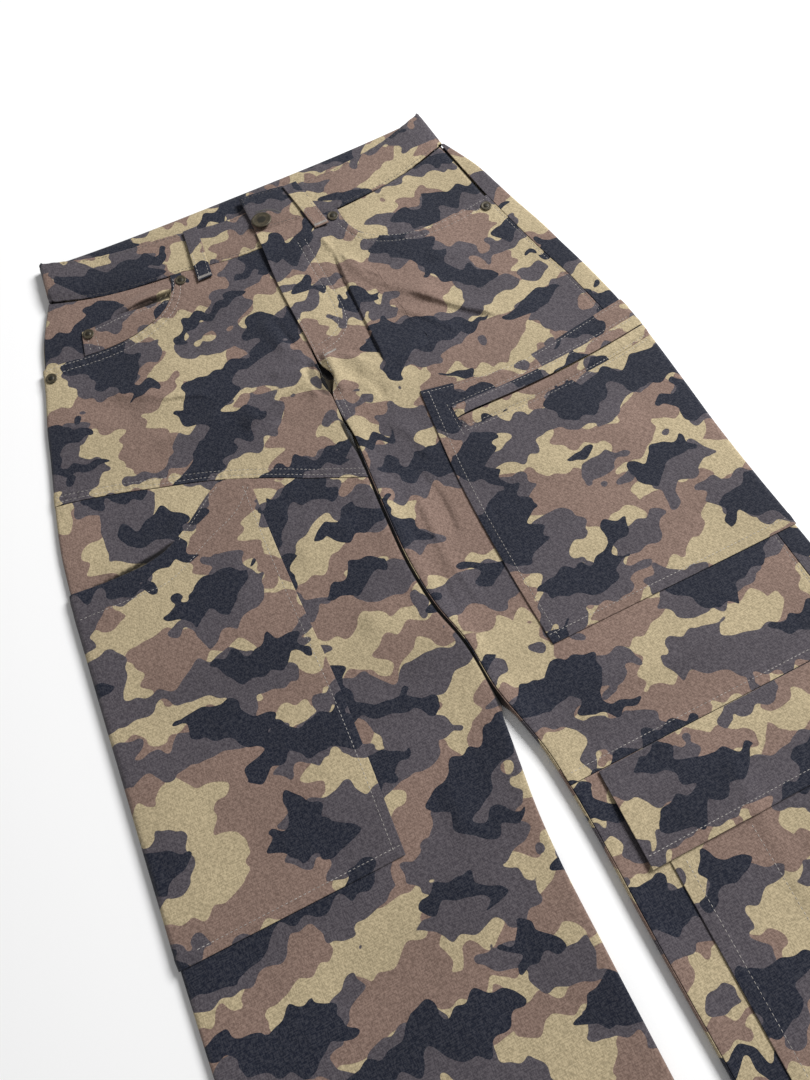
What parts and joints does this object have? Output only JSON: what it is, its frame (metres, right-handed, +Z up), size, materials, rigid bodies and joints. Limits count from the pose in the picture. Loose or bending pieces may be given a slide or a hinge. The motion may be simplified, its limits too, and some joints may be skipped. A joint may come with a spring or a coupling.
{
  "type": "camouflage cargo trousers laid flat",
  "caption": "Flat-laid cargo trousers with scooped front pockets, patch and welt thigh pockets, a flapped leg pocket, waistband, belt loops, waist button and rivets.",
  "frame": {"origin": "middle of the floor under the whole laid garment", "axes": "+X to the wearer's left, +Y from the hems to the waist, +Z up from the surface the garment lies on"},
  "size_m": [0.5299, 1.028, 0.0138],
  "materials": {
    "camouflage_cloth": "matte cotton twill printed in a common camouflage: tan ground with mauve-brown, grey and blue-black shapes",
    "antique_brass": "dull darkened brass, worn brighter on the rims"
  },
  "bodies": {
    "root": {"waistband": "camouflage_cloth", "belt_loop_front_right": "camouflage_cloth", "belt_loop_front_left": "camouflage_cloth", "belt_loop_back_right": "camouflage_cloth", "belt_loop_back_centre": "camouflage_cloth", "belt_loop_back_left": "camouflage_cloth", "front_right_upper": "camouflage_cloth", "front_right_leg": "camouflage_cloth", "front_left_upper": "camouflage_cloth", "front_left_leg": "camouflage_cloth", "back_right": "camouflage_cloth", "back_left": "camouflage_cloth", "pocket_facing_right": "camouflage_cloth", "pocket_facing_left": "camouflage_cloth", "coin_pocket": "camouflage_cloth", "cargo_pocket_right": "camouflage_cloth", "thigh_patch_left": "camouflage_cloth", "welt_upper_left": "camouflage_cloth", "welt_lower_left": "camouflage_cloth", "cargo_pocket_left": "camouflage_cloth", "cargo_flap_left": "camouflage_cloth", "waist_button": "antique_brass", "rivet_pocket_right_inner": "antique_brass", "rivet_pocket_right_outer": "antique_brass", "rivet_coin_pocket": "antique_brass", "rivet_pocket_left_inner": "antique_brass", "rivet_pocket_left_outer": "antique_brass"}
  },
  "joints": []
}
